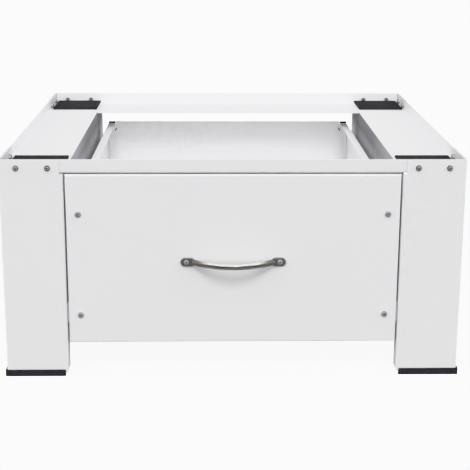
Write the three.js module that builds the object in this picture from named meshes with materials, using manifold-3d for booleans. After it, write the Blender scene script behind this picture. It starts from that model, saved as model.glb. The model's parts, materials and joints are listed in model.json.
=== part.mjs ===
// A drawer pedestal for a washing machine: four folded corner posts on plastic
// caps carry two side shelves and two cross rails, and a sheet steel drawer with
// a bow handle rolls on bottom-mounted runners between the shelves.
//
// Millimetres. +X is right, +Y is back, +Z is up, and the floor is Z = 0.
import * as THREE from 'three';
import { mergeVertices, toCreasedNormals } from 'three/addons/utils/BufferGeometryUtils.js';
import Module from 'manifold-3d';

// ---------------------------------------------------------------- dimensions

// The whole pedestal.
const width = 630; // across the posts' outer faces
const depth = 540; // from the front posts' faces to the rear posts' faces
const height = 310; // floor to the top of the rims
const seam = 0.3; // clearance between pieces that lie against each other

// Folded sheet steel.
const frameSheet = 1.5; // posts, rails and shelves
const drawerSheet = 1; // drawer box and runners
const panelSheet = 1.2; // drawer front
const frameBend = 1.5; // inside radius of the folds in the frame's sheet
const drawerBend = 1; // inside radius of the folds in the thinner sheets
const bendSteps = 3; // flats that stand for one fold

// Corner posts.
const postFace = 86.5; // width of each of a post's two faces
const postLip = 18; // depth of the lip folded in along each free edge
const postToe = 7; // radius of the faces' free bottom corners
const reliefWidth = 5; // how much of a face is cut off beside the rails
const reliefGap = 0.7; // from the top of the lips to the rails above them

// Caps under the posts.
const capHeight = 9.6;
const capFloor = 3;
const capProud = 2; // how far a cap stands out past a post's faces
const capSlack = 0.6; // room each side of the post's sheet in the cap's groove
const capInnerWall = 1.6;
const capInset = 4.5; // a cap ends this far short of a face's free edge
const capChamfer = 1.5;

// Shelves and rails.
const platformDrop = 16; // from the rims' tops down to the shelves
const frontFlange = 45; // depth of the front rail's flange
const rearFlange = 100; // depth of the rear rail's flange
const lipGap = 1; // between a shelf's skirt and the posts' lips
const skirtTail = 12; // how far a skirt reaches below its runner

// Corner screws, each with its nut.
const cornerScrewInsets = [24, 66]; // from a post's outer corner
const cornerScrewDrop = 11.5; // below the top of the rims
const shankRadius = 2;
const cornerHeadRadius = 3.75;
const cornerHeadHeight = 2.2;
const nutFlats = 7; // across the flats
const nutHeight = 3.2;
const shankTail = 1; // thread standing out past a nut
const holeClearance = 0.25; // radial, round every screw and pin

// Pads on the shelves' corners.
const padSize = 76;
const padThickness = 3;
const padGap = 0.5; // between a pad and the screws' ends

// Drawer front.
const panelGap = 2; // at each side of the drawer front
const panelTopGap = 1.4; // under the front rail
const panelBottom = 49.5;
const trayDepth = 15; // depth of the edges folded back round the front
const lowerScrewRise = 10.2; // above the drawer box's bottom
const upperScrewDrop = 27.5; // below the drawer box's top
const panelScrewInset = 5; // from the drawer box's outer side
const panelHeadRadius = 4.1;
const panelHeadHeight = 2.2;
const panelShank = 12;

// Drawer box.
const runnerSpace = 13.5; // from a shelf's skirt to the drawer box
const boxShort = 2.5; // from the box's back to the channels' rear ends
const boxBottom = 80.3;
const boxDrop = 27.3; // from the drawer front's top down to the box's
const topFlange = 13;
const bottomFlange = 12;
const frontEar = 14; // flange of a side wall that the front is screwed to
const backRise = 3; // how far the back wall stands above the side walls
const backTab = 16; // back wall's tabs along the side walls

// Runners.
const channelShort = 17; // from the channels' rear ends to the skirts'
const channelHeight = 32;
const channelTabGap = 4; // from the drawer front's face to the channel's front tab
const channelStart = 1.5; // from the drawer front's folded edges to the channel
const channelLipDrop = 10.5; // turned-down lip that keeps the drawer from tipping
const trackGap = 1; // beside the drawer runner's track and under the box
const trackHeight = 19; // from the channel's bottom up to the track
const rollerPlay = 0.2; // under and above a roller
const rollerWidth = 5.5;
const rollerSide = 0.6; // between a roller and the channel's wall
const rollerChamfer = 0.8;
const rollerInset = 0.1; // from a channel's mouth to the drawer's roller in it
const rollerFromEnd = 12; // front roller's centre from the channel's front end
const stopGap = 0.4; // between the closed drawer's rollers and the end stops
const pinRadius = 2.4;
const pinHeadRadius = 4.1;
const pinHeadHeight = 1.2;
const pinHeadGap = 0.2;
const pinSeat = 0.15; // under a pin's shoulder
const pinShort = 0.1; // from a pin's riveted end to the far face of its sheet
const runnerScrewRise = 26; // above the channel's bottom
const runnerScrewInset = 18; // from the channel's ends
const runnerHeadRadius = 3.2;
const runnerHeadHeight = 1.8;
const runnerShank = 7;

// Bow handle.
const handleSpacing = 128; // between its screws
const handleHeight = 167; // above the floor
const handleBow = 24.5; // from the drawer front to the middle of the bar
const barMiddleRadius = 4;
const barEndRadius = 2.75;
const tabLength = 20;
const tabHeight = 12;
const tabThickness = 2.5;
const tabScrewInset = 8; // from a tab's outer end
const barInTab = 2; // how far the bar runs on over a tab
const handleHeadRadius = 3.4;
const handleHeadHeight = 1.8;
const handleShank = 12;

// ------------------------------------------------------------ derived places

const halfWidth = width / 2;
const halfDepth = depth / 2;
const skirtFace = halfWidth - postFace; // inner faces of the skirts and the posts' lips
const railFace = halfDepth - frameSheet - seam; // outer faces of the rails' rims
const shelfRimFace = halfWidth - frameSheet - seam;
const platformTop = height - platformDrop;
const flangeTop = platformTop - frameSheet - seam;
const flangeBottom = flangeTop - frameSheet;
const railEnd = shelfRimFace - frameSheet - seam;
const shelfEnd = railFace - frameSheet - frameBend; // clear of the fold in a rail
const skirtEnd = halfDepth - postLip - lipGap;
const cornerScrewHeight = height - cornerScrewDrop;
const cornerGrip = 2 * frameSheet + 2 * seam; // from a post's face to the nut
const cornerReach = cornerGrip + nutHeight + shankTail;
const panelHalf = skirtFace - panelGap;
const panelBack = -halfDepth + trayDepth;
const panelTop = flangeBottom - panelTopGap;
const boxHalf = skirtFace - runnerSpace;
const boxFront = -halfDepth + panelSheet + seam;
const boxTop = panelTop - boxDrop;
const panelScrewHeights = [boxBottom + lowerScrewRise, boxTop - upperScrewDrop];
const channelWall = skirtFace - seam - drawerSheet; // inner face of the channel's web
const channelBottom = boxBottom - seam - 2 * drawerSheet - trackGap - drawerSheet;
const channelTop = channelBottom + channelHeight;
const channelTabFront = -halfDepth + channelTabGap;
const channelFront = panelBack + channelStart;
const channelBack = skirtEnd - channelShort;
const boxBack = channelBack - boxShort;
const trackUnderside = channelBottom + trackHeight;
const rollerRadius = (trackHeight - drawerSheet) / 2 - rollerPlay;
const rollerHeight = channelBottom + drawerSheet + rollerPlay + rollerRadius;
const plateFace = boxHalf + seam + drawerSheet; // outer face of the drawer runners
const channelRollerY = channelFront + rollerFromEnd;
const drawerRollerY = channelBack - drawerSheet - stopGap - rollerRadius;
const runnerScrewHeight = channelBottom + runnerScrewRise;
const skirtBottom = channelBottom - skirtTail;
const handleReach = handleBow + barMiddleRadius;
const rearReach = seam + cornerHeadHeight;
const originY = (handleReach - rearReach) / 2; // brings the box's middle to Y = 0

// ----------------------------------------------------------------- materials

function finish(color, roughness, metalness) {
  return new THREE.MeshStandardMaterial({ color, roughness, metalness });
}

const whitePaint = finish(0xe4e4e6, 0.42, 0.0);
const runnerPaint = finish(0xdcdcdc, 0.45, 0.0);
const zincSteel = finish(0x9a9a9c, 0.3, 1.0);
const nickel = finish(0xb4aea5, 0.32, 1.0);
const capPlastic = finish(0x35353a, 0.55, 0.0);
const padRubber = finish(0x2c2c2e, 0.85, 0.0);
const nylon = finish(0xf0efe8, 0.4, 0.0);

// ------------------------------------------------------------- solid helpers

const wasm = await Module();
wasm.setup();

// A closed geometry as a solid that can be joined and cut.
function solid(geometry) {
  const bare = geometry.clone();
  bare.deleteAttribute('normal');
  bare.deleteAttribute('uv');
  const merged = mergeVertices(bare, 1e-4);
  const mesh = new wasm.Mesh({
    numProp: 3,
    vertProperties: Float32Array.from(merged.attributes.position.array),
    triVerts: Uint32Array.from(merged.index.array),
  });
  return new wasm.Manifold(mesh);
}

function joinAll(solids) {
  return solids.reduce((whole, piece) => whole.add(piece));
}

function cutAll(whole, cutters) {
  return cutters.reduce((rest, cutter) => rest.subtract(cutter), whole);
}

// The solid as a geometry, mirrored to the left side on request.
function geometryOf(body, mirrored = false) {
  const mesh = body.getMesh();
  const geometry = new THREE.BufferGeometry();
  const triangles = mesh.triVerts.slice();
  geometry.setAttribute('position', new THREE.BufferAttribute(mesh.vertProperties.slice(), 3));
  if (mirrored) {
    geometry.scale(-1, 1, 1);
    triangles.reverse(); // turns the faces outward again
  }
  geometry.setIndex(new THREE.BufferAttribute(triangles, 1));
  return toCreasedNormals(geometry, Math.PI / 5);
}

function box(x0, x1, y0, y1, z0, z1) {
  const geometry = new THREE.BoxGeometry(x1 - x0, y1 - y0, z1 - z0);
  geometry.translate((x0 + x1) / 2, (y0 + y1) / 2, (z0 + z1) / 2);
  return solid(geometry);
}

// A shape drawn in (y, z) and drawn out along X.
function alongX(shape, x0, x1) {
  const geometry = new THREE.ExtrudeGeometry(shape, { depth: x1 - x0, bevelEnabled: false });
  const axes = [new THREE.Vector3(0, 1, 0), new THREE.Vector3(0, 0, 1), new THREE.Vector3(1, 0, 0)];
  geometry.applyMatrix4(new THREE.Matrix4().makeBasis(...axes));
  geometry.translate(x0, 0, 0);
  return solid(geometry);
}

// A shape drawn in (x, z) and drawn out along Y.
function alongY(shape, y0, y1) {
  const geometry = new THREE.ExtrudeGeometry(shape, { depth: y1 - y0, bevelEnabled: false });
  const axes = [new THREE.Vector3(1, 0, 0), new THREE.Vector3(0, 0, 1), new THREE.Vector3(0, -1, 0)];
  geometry.applyMatrix4(new THREE.Matrix4().makeBasis(...axes));
  geometry.translate(0, y1, 0);
  return solid(geometry);
}

// A shape drawn in (x, y) and drawn out along Z.
function alongZ(shape, z0, z1) {
  const geometry = new THREE.ExtrudeGeometry(shape, { depth: z1 - z0, bevelEnabled: false });
  geometry.translate(0, 0, z0);
  return solid(geometry);
}

function outline(points) {
  return new THREE.Shape(points.map(([u, v]) => new THREE.Vector2(u, v)));
}

// The section of a folded sheet. The corners trace one of its faces, and its
// thickness lies to their left; every fold has the inside radius given.
function foldedSheet(corners, thickness, insideRadius) {
  const points = corners.map(([u, v]) => new THREE.Vector2(u, v));
  const near = [];
  const far = [];
  const heading = (i) => points[i + 1].clone().sub(points[i]).normalize();
  const leftOf = (d) => new THREE.Vector2(-d.y, d.x);
  const addPair = (point, normal, reach) => {
    near.push(point.clone());
    far.push(point.clone().addScaledVector(normal, reach));
  };
  addPair(points[0], leftOf(heading(0)), thickness);
  for (let i = 1; i < points.length - 1; i += 1) {
    const before = heading(i - 1);
    const after = heading(i);
    const turn = Math.atan2(before.cross(after), before.dot(after));
    const side = Math.sign(turn);
    const radius = side > 0 ? insideRadius + thickness : insideRadius;
    const centre = points[i].clone()
      .addScaledVector(before, -radius * Math.tan(Math.abs(turn) / 2))
      .addScaledVector(leftOf(before), side * radius);
    for (let k = 0; k <= bendSteps; k += 1) {
      const spoke = leftOf(before).multiplyScalar(-side);
      spoke.rotateAround(new THREE.Vector2(), (turn * k) / bendSteps);
      addPair(centre.clone().addScaledVector(spoke, radius), spoke, -side * thickness);
    }
  }
  const last = points.length - 1;
  addPair(points[last], leftOf(heading(last - 1)), thickness);
  return new THREE.Shape([...near, ...far.reverse()]);
}

// A round bar about one axis, for holes and shanks.
function rod(axis, radius, from, to, segments = 12) {
  const geometry = new THREE.CylinderGeometry(radius, radius, to - from, segments);
  geometry.translate(0, (from + to) / 2, 0);
  if (axis === 'x') geometry.rotateZ(-Math.PI / 2);
  if (axis === 'z') geometry.rotateX(Math.PI / 2);
  return geometry;
}

// A hole along an axis through the point given, long enough for any sheet.
function hole(axis, x, y, z, radius = shankRadius) {
  const throughSheet = 8;
  const cutter = rod(axis, radius + holeClearance, -throughSheet, throughSheet);
  cutter.translate(x, y, z);
  return solid(cutter);
}

// ------------------------------------------------------------ scene assembly

const pedestal = new THREE.Group();
pedestal.position.y = originY;

function addPiece(parent, name, body, material, mirrored = false) {
  const mesh = new THREE.Mesh(geometryOf(body, mirrored), material);
  mesh.name = name;
  parent.add(mesh);
  return mesh;
}

// One piece built on the right and its mirror image on the left.
function addPair(name, body, material) {
  addPiece(pedestal, `right_${name}`, body, material);
  addPiece(pedestal, `left_${name}`, body, material, true);
}

// ------------------------------------------------------------------ fasteners

// A pan-head screw along Z, head up, with the gripped face at Z = 0. The nut,
// where there is one, starts a grip below that face.
function panScrew({ headRadius, headHeight, shank, grip }) {
  const profile = [
    [0, seam + headHeight], [headRadius * 0.6, seam + headHeight],
    [headRadius, seam + headHeight * 0.5], [headRadius, seam],
    [shankRadius, seam], [shankRadius, -shank], [0, -shank],
  ];
  const lathe = new THREE.LatheGeometry(profile.map(([r, z]) => new THREE.Vector2(r, z)).reverse(), 12);
  lathe.rotateX(Math.PI / 2);
  const slotLength = headRadius * 0.55;
  const slotWidth = headRadius * 0.14;
  const slotFloor = seam + headHeight * 0.5;
  const slotTop = seam + headHeight + 1;
  const recess = [
    box(-slotLength, slotLength, -slotWidth, slotWidth, slotFloor, slotTop),
    box(-slotWidth, slotWidth, -slotLength, slotLength, slotFloor, slotTop),
  ];
  let screw = cutAll(solid(lathe), recess);
  if (grip !== undefined) {
    const corner = nutFlats / 2 / Math.cos(Math.PI / 6);
    const nut = rod('z', corner, -grip - nutHeight, -grip, 6);
    nut.rotateZ(Math.PI / 6);
    screw = screw.add(solid(nut));
  }
  return screw;
}

const outward = {
  front: new THREE.Vector3(0, -1, 0),
  left: new THREE.Vector3(-1, 0, 0),
  right: new THREE.Vector3(1, 0, 0),
};

// Turns a piece's Z axis to face the way named, with its Y axis up, and puts its
// foot at the place.
function turnTo(mesh, way, x, y, z) {
  const up = new THREE.Vector3(0, 0, 1);
  const across = up.clone().cross(outward[way]);
  mesh.quaternion.setFromRotationMatrix(new THREE.Matrix4().makeBasis(across, up, outward[way]));
  mesh.position.set(x, y, z);
}

// --------------------------------------------------------------- corner posts

// A corner is built once, with its outer edge at X = Y = 0 and its two faces
// running off along +X and +Y, and then turned to each corner in its place.

function cornerPost() {
  const section = foldedSheet(
    [[postLip, postFace], [0, postFace], [0, 0], [postFace, 0], [postFace, postLip]],
    frameSheet,
    frameBend,
  );
  const bottom = capFloor + seam;
  const beyond = postFace + 1;
  const reliefBottom = flangeBottom - reliefGap;
  const reliefFrom = postFace - reliefWidth;
  const toe = new THREE.Shape();
  toe.moveTo(postFace - postToe, bottom);
  toe.absarc(postFace - postToe, bottom + postToe, postToe, -Math.PI / 2, 0, false);
  toe.lineTo(beyond, bottom + postToe);
  toe.lineTo(beyond, bottom - 1);
  toe.lineTo(postFace - postToe, bottom - 1);
  const holes = cornerScrewInsets.flatMap((inset) => [
    hole('y', inset, 0, cornerScrewHeight),
    hole('x', 0, inset, cornerScrewHeight),
  ]);
  return cutAll(alongZ(section, bottom, height), [
    box(reliefFrom, beyond, -1, postLip + 1, reliefBottom, height + 1),
    box(-1, postLip + 1, reliefFrom, beyond, reliefBottom, height + 1),
    alongY(toe, -1, postLip + 1),
    alongX(toe, -1, postLip + 1),
    ...holes,
  ]);
}

function footCap() {
  const outer = -capProud;
  const inner = frameSheet + capSlack + capInnerWall;
  const end = postFace - capInset;
  const body = outline([
    [outer + capChamfer, outer], [end, outer], [end, inner], [inner, inner],
    [inner, end], [outer, end], [outer, outer + capChamfer],
  ]);
  const groove = foldedSheet(
    [[-capSlack, postFace], [-capSlack, -capSlack], [postFace, -capSlack]],
    frameSheet + 2 * capSlack,
    frameBend - capSlack,
  );
  return alongZ(body, 0, capHeight).subtract(alongZ(groove, capFloor, capHeight + 1));
}

function shelfPad() {
  const from = cornerReach + padGap;
  const bottom = platformTop + seam;
  return box(from, from + padSize, from, from + padSize, bottom, bottom + padThickness);
}

const postSolid = cornerPost();
const capSolid = footCap();
const padSolid = shelfPad();
const cornerScrew = panScrew({
  headRadius: cornerHeadRadius,
  headHeight: cornerHeadHeight,
  shank: cornerReach,
  grip: cornerGrip,
});

const corners = [
  { name: 'front_left', x: -halfWidth, y: -halfDepth, turn: 0 },
  { name: 'front_right', x: halfWidth, y: -halfDepth, turn: Math.PI / 2 },
  { name: 'rear_right', x: halfWidth, y: halfDepth, turn: Math.PI },
  { name: 'rear_left', x: -halfWidth, y: halfDepth, turn: -Math.PI / 2 },
];

for (const { name, x, y, turn } of corners) {
  const corner = new THREE.Group();
  corner.position.set(x, y, 0);
  corner.rotation.z = turn;
  addPiece(corner, `${name}_post`, postSolid, whitePaint);
  addPiece(corner, `${name}_foot_cap`, capSolid, capPlastic);
  addPiece(corner, `${name}_pad`, padSolid, padRubber);
  cornerScrewInsets.forEach((inset, i) => {
    const onX = addPiece(corner, `${name}_screw_${2 * i + 1}`, cornerScrew, zincSteel);
    turnTo(onX, 'front', inset, 0, cornerScrewHeight);
    const onY = addPiece(corner, `${name}_screw_${2 * i + 2}`, cornerScrew, zincSteel);
    turnTo(onY, 'left', 0, inset, cornerScrewHeight);
  });
  pedestal.add(corner);
}

// ---------------------------------------------------------- rails and shelves

// A rail along the back: a rim that stands up and a flange that runs forward
// under the shelves, slotted where their skirts pass down through it.
function crossRail(flange) {
  const freeEdge = railFace - flange;
  const section = foldedSheet(
    [[railFace - frameSheet, height], [railFace - frameSheet, flangeTop], [freeEdge, flangeTop]],
    frameSheet,
    frameBend,
  );
  const slotFrom = skirtFace - seam;
  const slotTo = skirtFace + frameSheet + frameBend + seam;
  const cutters = [];
  for (const side of [-1, 1]) {
    const ends = [side * slotFrom, side * slotTo].sort((a, b) => a - b);
    cutters.push(box(...ends, freeEdge - 1, skirtEnd + seam, flangeBottom - 1, flangeTop + 1));
    for (const inset of cornerScrewInsets) {
      cutters.push(hole('y', side * (halfWidth - inset), railFace, cornerScrewHeight));
    }
  }
  return cutAll(alongX(section, -railEnd, railEnd), cutters);
}

// The right shelf: an outer rim that stands up, the platform under the machine,
// and a deep inner skirt that carries the drawer's channel.
function sideShelf() {
  const rimInside = shelfRimFace - frameSheet;
  const section = foldedSheet(
    [[rimInside, height], [rimInside, platformTop], [skirtFace, platformTop], [skirtFace, skirtBottom]],
    frameSheet,
    frameBend,
  );
  const cutters = [];
  for (const end of [-1, 1]) {
    const span = [end * skirtEnd, end * (shelfEnd + 1)].sort((a, b) => a - b);
    const underPlatform = platformTop - frameSheet;
    cutters.push(box(skirtFace - 1, skirtFace + 2 * frameBend + frameSheet, ...span,
      skirtBottom - 1, underPlatform));
    for (const inset of cornerScrewInsets) {
      cutters.push(hole('x', shelfRimFace, end * (halfDepth - inset), cornerScrewHeight));
    }
  }
  for (const y of runnerScrewPlaces()) cutters.push(hole('x', skirtFace, y, runnerScrewHeight));
  return cutAll(alongY(section, -shelfEnd, shelfEnd), cutters);
}

function runnerScrewPlaces() {
  return [channelFront + runnerScrewInset, channelBack - runnerScrewInset];
}

const frontRail = addPiece(pedestal, 'front_rail', crossRail(frontFlange), whitePaint);
frontRail.rotation.z = Math.PI;
addPiece(pedestal, 'rear_rail', crossRail(rearFlange), whitePaint);
addPair('shelf', sideShelf(), whitePaint);

// -------------------------------------------------------------------- runners

// The right channel, screwed to the skirt, with a flat front tab that lies over
// the post's lip and an end stop for the drawer's roller.
function channelRunner() {
  const outside = channelWall + drawerSheet;
  const mouth = plateFace + trackGap;
  const lipFace = mouth + drawerSheet / 2;
  const section = foldedSheet(
    [[mouth, channelBottom], [outside, channelBottom], [outside, channelTop],
      [lipFace, channelTop], [lipFace, channelTop - channelLipDrop]],
    drawerSheet,
    drawerBend,
  );
  const overlap = drawerSheet / 2;
  const channel = joinAll([
    alongY(section, channelFront, channelBack),
    box(channelWall, outside, channelTabFront, channelFront + 1,
      channelBottom + drawerBend + drawerSheet, channelTop - drawerBend - drawerSheet),
    box(mouth, channelWall + overlap, channelBack - drawerSheet, channelBack,
      channelBottom + overlap, trackUnderside - drawerSheet),
  ]);
  const holes = runnerScrewPlaces().map((y) => hole('x', channelWall, y, runnerScrewHeight));
  return cutAll(channel, [...holes, hole('x', channelWall, channelRollerY, rollerHeight, pinRadius)]);
}

// The right drawer runner: it carries the box on its bottom flange, and its
// track runs out over the channel's front roller.
function drawerRunner() {
  const trackEdge = channelWall - trackGap;
  const underside = boxBottom - seam - drawerSheet;
  const section = foldedSheet(
    [[boxHalf - bottomFlange, underside], [plateFace, underside],
      [plateFace, trackUnderside], [trackEdge, trackUnderside]],
    drawerSheet,
    drawerBend,
  );
  const runner = alongY(section, channelFront, boxBack);
  return runner.subtract(hole('x', plateFace, drawerRollerY, rollerHeight, pinRadius));
}

// A roller round X, its inner end at X = 0, with chamfered edges.
function roller() {
  const bore = pinRadius + holeClearance;
  const rim = rollerRadius;
  const profile = [
    [bore, 0], [rim - rollerChamfer, 0], [rim, rollerChamfer], [rim, rollerWidth - rollerChamfer],
    [rim - rollerChamfer, rollerWidth], [bore, rollerWidth], [bore, 0],
  ];
  const ring = new THREE.LatheGeometry(profile.map(([r, x]) => new THREE.Vector2(r, x)), 24);
  ring.rotateZ(-Math.PI / 2);
  return solid(ring);
}

// A riveted pin round X: X = 0 is the face it stands on, with a shoulder, the
// roller's journal and a head.
function rollerPin(shoulder) {
  const journalEnd = shoulder + rollerWidth + pinHeadGap;
  const flush = drawerSheet - pinShort;
  const profile = [
    [0, -flush], [pinRadius, -flush], [pinRadius, pinSeat], [pinHeadRadius, pinSeat],
    [pinHeadRadius, shoulder - pinHeadGap], [pinRadius, shoulder - pinHeadGap],
    [pinRadius, journalEnd], [pinHeadRadius, journalEnd],
    [pinHeadRadius, journalEnd + pinHeadHeight], [0, journalEnd + pinHeadHeight],
  ];
  const pin = new THREE.LatheGeometry(profile.map(([r, x]) => new THREE.Vector2(r, x)), 16);
  pin.rotateZ(-Math.PI / 2);
  return solid(pin);
}

// Places a part of a runner on both sides. It is built along +X, which is turned
// inward for what stands on the channel.
function addRunnerPart(name, body, material, x, y, z, inward) {
  for (const [sideName, side] of [['right', 1], ['left', -1]]) {
    const mesh = addPiece(pedestal, `${sideName}_${name}`, body, material);
    const way = inward ? -side : side;
    mesh.rotation.z = way > 0 ? 0 : Math.PI;
    mesh.position.set(side * x, y, z);
  }
}

const rollerShoulder = trackGap + rollerInset; // of a drawer roller, from its runner
addPair('channel', channelRunner(), runnerPaint);
addPair('drawer_runner', drawerRunner(), runnerPaint);
addRunnerPart('channel_roller', roller(), nylon,
  channelWall - rollerSide, channelRollerY, rollerHeight, true);
addRunnerPart('channel_pin', rollerPin(rollerSide), zincSteel,
  channelWall, channelRollerY, rollerHeight, true);
addRunnerPart('drawer_roller', roller(), nylon,
  plateFace + rollerShoulder, drawerRollerY, rollerHeight, false);
addRunnerPart('drawer_pin', rollerPin(rollerShoulder), zincSteel,
  plateFace, drawerRollerY, rollerHeight, false);

const runnerScrew = panScrew({
  headRadius: runnerHeadRadius,
  headHeight: runnerHeadHeight,
  shank: runnerShank,
});
for (const [sideName, side] of [['right', 1], ['left', -1]]) {
  runnerScrewPlaces().forEach((y, i) => {
    const name = `${sideName}_${i === 0 ? 'front' : 'rear'}_runner_screw`;
    const mesh = addPiece(pedestal, name, runnerScrew, zincSteel);
    turnTo(mesh, side > 0 ? 'left' : 'right', side * channelWall, y, runnerScrewHeight);
  });
}

// --------------------------------------------------------------------- drawer

// A block as deep as the folded edges, with the front's edges rounded, shrunk by
// one thickness for the hollow behind the front.
function frontBlock(shrink, back) {
  const radius = drawerBend + panelSheet - shrink;
  const face = -halfDepth + shrink;
  const roundedAcross = (low, high) => {
    const shape = new THREE.Shape();
    shape.moveTo(low, back);
    shape.lineTo(low, face + radius);
    shape.absarc(low + radius, face + radius, radius, Math.PI, Math.PI * 1.5, false);
    shape.absarc(high - radius, face + radius, radius, Math.PI * 1.5, Math.PI * 2, false);
    shape.lineTo(high, back);
    return new THREE.Shape(shape.getPoints(bendSteps));
  };
  const side = panelHalf - shrink;
  const low = panelBottom + shrink;
  const high = panelTop - shrink;
  const plan = alongZ(roundedAcross(-side, side), low, high);
  // The upright section is drawn as (z, y), so its axes are swapped on the way.
  const upright = new THREE.Shape(
    roundedAcross(low, high).getPoints().map((p) => new THREE.Vector2(p.y, p.x)),
  );
  return plan.intersect(alongX(upright, -side, side));
}

function drawerFront() {
  const shell = frontBlock(0, panelBack).subtract(frontBlock(panelSheet, panelBack + 1));
  const holes = [-1, 1].flatMap((side) => [
    hole('y', (side * handleSpacing) / 2, -halfDepth, handleHeight),
    ...panelScrewHeights.map((z) => hole('y', side * (boxHalf - panelScrewInset), -halfDepth, z)),
  ]);
  return cutAll(shell, holes);
}

// The right side wall, with flanges folded in along its top and bottom and an
// ear at the front for the screws through the drawer front.
function boxSide() {
  const wall = foldedSheet(
    [[boxHalf - bottomFlange, boxBottom], [boxHalf, boxBottom],
      [boxHalf, boxTop], [boxHalf - topFlange, boxTop]],
    drawerSheet,
    drawerBend,
  );
  const fold = drawerBend + drawerSheet;
  const ear = foldedSheet(
    [[boxHalf - frontEar, boxFront], [boxHalf, boxFront], [boxHalf, boxFront + 2 * fold]],
    drawerSheet,
    drawerBend,
  );
  const side = joinAll([
    alongY(wall, boxFront + fold, boxBack),
    alongZ(ear, boxBottom + fold, boxTop - fold),
  ]);
  const screwX = boxHalf - panelScrewInset;
  return cutAll(side, panelScrewHeights.map((z) => hole('y', screwX, boxFront, z)));
}

// The back wall stands between the side walls on the bottom sheet, with tabs
// folded forward along them, and rises above them between their top flanges.
function boxBackWall() {
  const reach = boxHalf - drawerSheet - seam;
  const section = foldedSheet(
    [[reach, boxBack - backTab], [reach, boxBack], [-reach, boxBack], [-reach, boxBack - backTab]],
    drawerSheet,
    drawerBend,
  );
  const bottom = boxBottom + 2 * drawerSheet + 2 * seam;
  const underFlange = boxTop - drawerSheet - drawerBend;
  const flangeEdge = boxHalf - topFlange - seam;
  const cutters = [-1, 1].map((side) => {
    const span = [side * flangeEdge, side * (reach + 1)].sort((a, b) => a - b);
    return box(...span, boxBack - backTab - 1, boxBack + 1, underFlange, boxTop + backRise + 1);
  });
  return cutAll(alongZ(section, bottom, boxTop + backRise), cutters);
}

function boxFloor() {
  const reach = boxHalf - drawerSheet - drawerBend;
  const bottom = boxBottom + drawerSheet + seam;
  return box(-reach, reach, boxFront + drawerSheet + seam, boxBack, bottom, bottom + drawerSheet);
}

addPiece(pedestal, 'drawer_front', drawerFront(), whitePaint);
addPair('drawer_side', boxSide(), whitePaint);
addPiece(pedestal, 'drawer_back', boxBackWall(), whitePaint);
addPiece(pedestal, 'drawer_bottom', boxFloor(), whitePaint);

const panelScrew = panScrew({
  headRadius: panelHeadRadius,
  headHeight: panelHeadHeight,
  shank: panelShank,
});
for (const [sideName, side] of [['right', 1], ['left', -1]]) {
  panelScrewHeights.forEach((z, i) => {
    const name = `${sideName}_${i === 0 ? 'lower' : 'upper'}_front_screw`;
    const mesh = addPiece(pedestal, name, panelScrew, zincSteel);
    turnTo(mesh, 'front', side * (boxHalf - panelScrewInset), -halfDepth, z);
  });
}

// --------------------------------------------------------------------- handle

// The bar is a spindle, thickest in the middle, bent round one arc between the
// tabs. It is made straight along X and each of its points is then carried to
// the arc.
function bentBar(halfSpan) {
  const rise = handleBow - tabThickness;
  const arcRadius = (halfSpan ** 2 + rise ** 2) / (2 * rise);
  const halfAngle = Math.asin(halfSpan / arcRadius);
  const steps = 20;
  const profile = [new THREE.Vector2(0, -halfAngle)];
  for (let k = 0; k <= steps; k += 1) {
    const t = (2 * k) / steps - 1;
    const radius = barMiddleRadius + (barEndRadius - barMiddleRadius) * t ** 2;
    profile.push(new THREE.Vector2(radius, t * halfAngle));
  }
  profile.push(new THREE.Vector2(0, halfAngle));
  const spindle = new THREE.LatheGeometry(profile, 12);
  const points = spindle.attributes.position;
  for (let i = 0; i < points.count; i += 1) {
    const angle = points.getY(i);
    const out = arcRadius + points.getX(i);
    const z = points.getZ(i);
    points.setXYZ(i, out * Math.sin(angle), arcRadius - handleBow - out * Math.cos(angle), z);
  }
  return solid(spindle);
}

function bowHandle() {
  const outerEnd = handleSpacing / 2 + tabScrewInset;
  const innerEnd = outerEnd - tabLength;
  const end = tabHeight / 2;
  const tabs = [-1, 1].map((side) => {
    const [low, high] = [side * innerEnd, side * outerEnd].sort((a, b) => a - b);
    const tab = new THREE.Shape();
    tab.absarc(high - end, 0, end, -Math.PI / 2, Math.PI / 2, false);
    tab.absarc(low + end, 0, end, Math.PI / 2, (Math.PI * 3) / 2, false);
    return alongY(new THREE.Shape(tab.getPoints(8)), -seam - tabThickness, -seam);
  });
  const inPanel = box(-handleSpacing, handleSpacing, -seam, 2 * handleBow, -handleBow, handleBow);
  const holes = [-1, 1].map((side) => hole('y', (side * handleSpacing) / 2, -seam, 0));
  const bow = bentBar(innerEnd + barInTab).subtract(inPanel);
  return cutAll(joinAll([bow, ...tabs]), holes);
}

const handle = addPiece(pedestal, 'bow_handle', bowHandle(), nickel);
handle.position.set(0, -halfDepth, handleHeight);

const handleScrew = panScrew({
  headRadius: handleHeadRadius,
  headHeight: handleHeadHeight,
  shank: handleShank,
});
for (const [sideName, side] of [['right', 1], ['left', -1]]) {
  const mesh = addPiece(pedestal, `${sideName}_handle_screw`, handleScrew, zincSteel);
  turnTo(mesh, 'front', (side * handleSpacing) / 2, -halfDepth - seam - tabThickness, handleHeight);
}

const group = new THREE.Group();
group.add(pedestal);
export default group;
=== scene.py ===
"""The looks of a washing machine pedestal with one drawer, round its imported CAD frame.

Every length is in metres and every place is in the frame's own axes: +X right,
+Y back, +Z up, with the floor at Z = 0. The drawer opens towards -Y.
"""

import json
import math

import bmesh
import bpy
from mathutils import Matrix, Vector

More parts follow.
